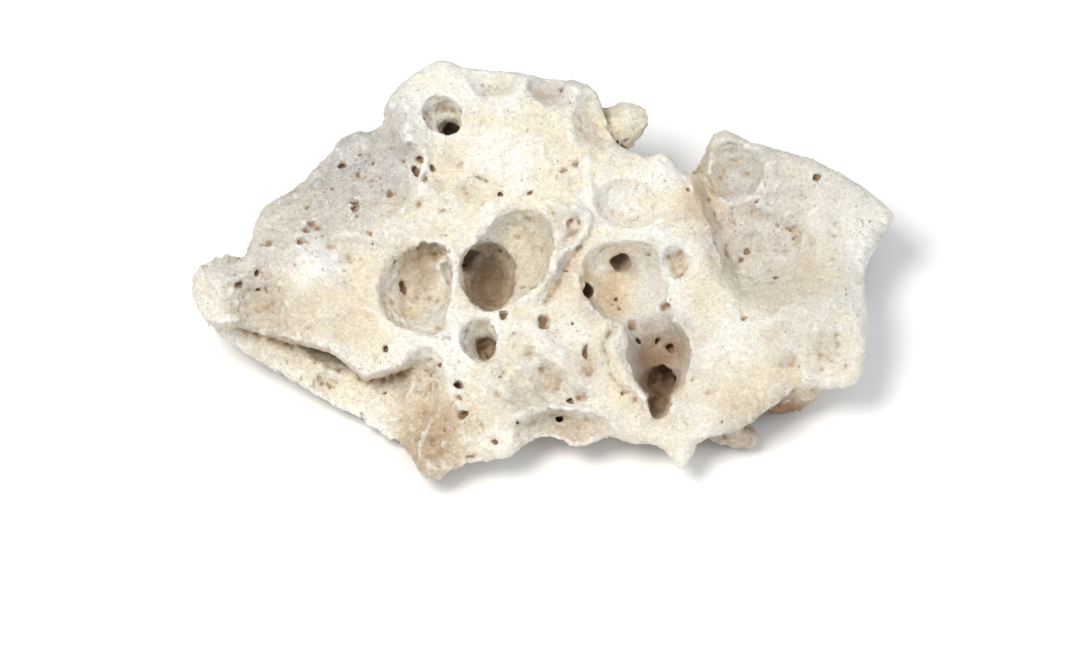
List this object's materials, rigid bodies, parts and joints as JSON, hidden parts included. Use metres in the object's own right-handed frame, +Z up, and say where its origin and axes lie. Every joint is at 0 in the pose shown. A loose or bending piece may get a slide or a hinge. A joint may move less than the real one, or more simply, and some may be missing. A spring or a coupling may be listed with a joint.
{
  "type": "holey rock",
  "caption": "Loose piece of pale weathered limestone with rounded hollows and tunnels, for an aquarium, terrarium, garden or rock landscape.",
  "frame": {"origin": "middle of the footprint, on the surface that the stone rests on", "axes": "+X along the stone's length towards its flat plate, +Y towards its high back, +Z up; the holed face looks up and towards -Y"},
  "size_m": [0.307, 0.2165, 0.0802],
  "materials": {
    "limestone": "matte cream limestone with small brown pores, tan stains in the hollows and grey patches"
  },
  "bodies": {
    "root": {"holey_rock": "limestone"}
  },
  "joints": []
}
